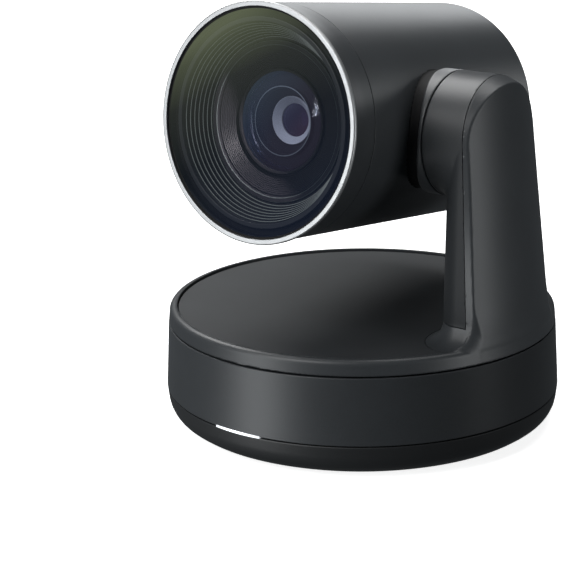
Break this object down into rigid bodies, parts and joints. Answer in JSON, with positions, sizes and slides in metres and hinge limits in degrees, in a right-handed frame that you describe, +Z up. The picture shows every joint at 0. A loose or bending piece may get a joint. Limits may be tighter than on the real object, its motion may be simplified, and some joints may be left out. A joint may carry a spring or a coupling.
{
  "type": "ptz camera",
  "caption": "Motorised pan, tilt and zoom camera: round base, turntable with a single arm and a cylindrical lens head; stands on a table or screws to a tripod.",
  "frame": {"origin": "on the table, on the pan axis, under the centre of the round base", "axes": "+Z up along the pan axis; the lens looks towards -Y; the arm stands on +X"},
  "size_m": [0.1532, 0.1532, 0.1686],
  "materials": {
    "graphite_shell": "fine matte charcoal, soft-touch",
    "graphite_disc": "fine matte charcoal",
    "black_cup": "matte black",
    "rubber_foot": "matte rubber",
    "silver_bezel": "satin silver",
    "black_gasket": "matte black",
    "coated_window": "clear, anti-reflection coated",
    "optical_glass": "polished, violet-blue coating",
    "baffle_black": "anti-glare black",
    "anodised_black": "black anodised",
    "satin_ring": "satin, violet tint",
    "light_diffuser": "translucent white, lit",
    "circuit_board": "green solder mask",
    "sensor_glass": "polished",
    "cast_alloy": "as cast",
    "bearing_steel": "ground",
    "motor_can": "drawn",
    "brass_insert": "machined",
    "port_metal": "plated",
    "nylon_gear": "natural acetal",
    "button_cap": "matte",
    "cable_jacket": "satin"
  },
  "bodies": {
    "base": {"base_lower_cup": "black_cup", "foot_pad": "rubber_foot", "base_housing": "graphite_shell", "status_light_bar": "light_diffuser", "light_board": "circuit_board", "base_chassis": "cast_alloy", "tripod_insert": "brass_insert", "main_board": "circuit_board", "io_panel": "black_cup", "hdmi_port": "port_metal", "usb_c_port": "port_metal", "power_jack": "black_cup", "pan_motor": "motor_can", "pan_bearing": "bearing_steel", "base_screws": "bearing_steel"},
    "pairing_button": {"pairing_button": "button_cap"},
    "turntable": {"turntable_shell": "graphite_shell", "turntable_disc": "graphite_disc", "turntable_frame": "cast_alloy", "arm_inner_cover": "graphite_shell", "arm_frame": "cast_alloy", "tilt_bearing": "bearing_steel", "tilt_motor": "motor_can", "cable_harness": "cable_jacket", "pan_gear": "nylon_gear", "arm_screws": "bearing_steel"},
    "head": {"head_barrel": "graphite_shell", "front_sleeve": "graphite_shell", "bezel_ring": "silver_bezel", "front_gasket": "black_gasket", "front_window": "coated_window", "light_baffle": "baffle_black", "lens_barrel": "anodised_black", "front_lens": "optical_glass", "lens_retaining_ring": "anodised_black", "inner_lens_ring": "satin_ring", "iris_unit": "baffle_black", "guide_rods": "bearing_steel", "zoom_motor": "motor_can", "focus_motor": "motor_can", "image_sensor": "sensor_glass", "sensor_board": "circuit_board", "head_board": "circuit_board", "head_chassis": "cast_alloy", "tilt_collar": "graphite_shell", "tilt_shaft": "bearing_steel", "tilt_gear": "nylon_gear"},
    "pan_pinion": {"pan_pinion": "bearing_steel"},
    "tilt_pinion": {"tilt_pinion": "bearing_steel"},
    "zoom_carriage": {"zoom_carriage": "baffle_black", "zoom_lens": "optical_glass"},
    "focus_carriage": {"focus_carriage": "baffle_black", "focus_lens": "optical_glass"},
    "zoom_lead_screw": {"zoom_lead_screw": "bearing_steel"},
    "focus_lead_screw": {"focus_lead_screw": "bearing_steel"}
  },
  "joints": [
    {"name": "pan", "type": "hinge", "parent": "base", "child": "turntable", "pos_m": [0, 0, 0.04], "axis": [0, 0, 1], "range_deg": [-90, 90]},
    {"name": "tilt", "type": "hinge", "parent": "turntable", "child": "head", "pos_m": [0, 0, 0.1172], "axis": [-1, 0, 0], "range_deg": [-97, 23]},
    {"name": "pan_pinion_spin", "type": "hinge", "parent": "base", "child": "pan_pinion", "pos_m": [-0.044, 0, 0.032], "axis": [0, 0, 1], "range_deg": [-406, 406]},
    {"name": "tilt_pinion_spin", "type": "hinge", "parent": "turntable", "child": "tilt_pinion", "pos_m": [0.0547, 0, 0.094], "axis": [-1, 0, 0], "range_deg": [-89, 373]},
    {"name": "zoom_slide", "type": "slide", "parent": "head", "child": "zoom_carriage", "axis": [0, 0.9925, -0.1219], "range_m": [-0.008, 0.008]},
    {"name": "focus_slide", "type": "slide", "parent": "head", "child": "focus_carriage", "axis": [0, 0.9925, -0.1219], "range_m": [-0.002, 0.004]},
    {"name": "zoom_screw_spin", "type": "hinge", "parent": "head", "child": "zoom_lead_screw", "pos_m": [-0.006, -0.00767, 0.13678], "axis": [0, 0.9925, -0.1219], "range_deg": [-2881, 2881]},
    {"name": "focus_screw_spin", "type": "hinge", "parent": "head", "child": "focus_lead_screw", "pos_m": [-0.006, -0.01196, 0.10184], "axis": [0, 0.9925, -0.1219], "range_deg": [-1441, 721]},
    {"name": "pairing_press", "type": "slide", "parent": "base", "child": "pairing_button", "axis": [0, -1, 0], "range_m": [0, 0.0006]}
  ],
  "couplings": [
    {"joint": "pan_pinion_spin", "follows": "pan", "ratio": -4.5},
    {"joint": "tilt_pinion_spin", "follows": "tilt", "ratio": -3.8333},
    {"joint": "zoom_screw_spin", "follows": "zoom_slide", "rad_per_m": -6283.2},
    {"joint": "focus_screw_spin", "follows": "focus_slide", "rad_per_m": -6283.2}
  ]
}
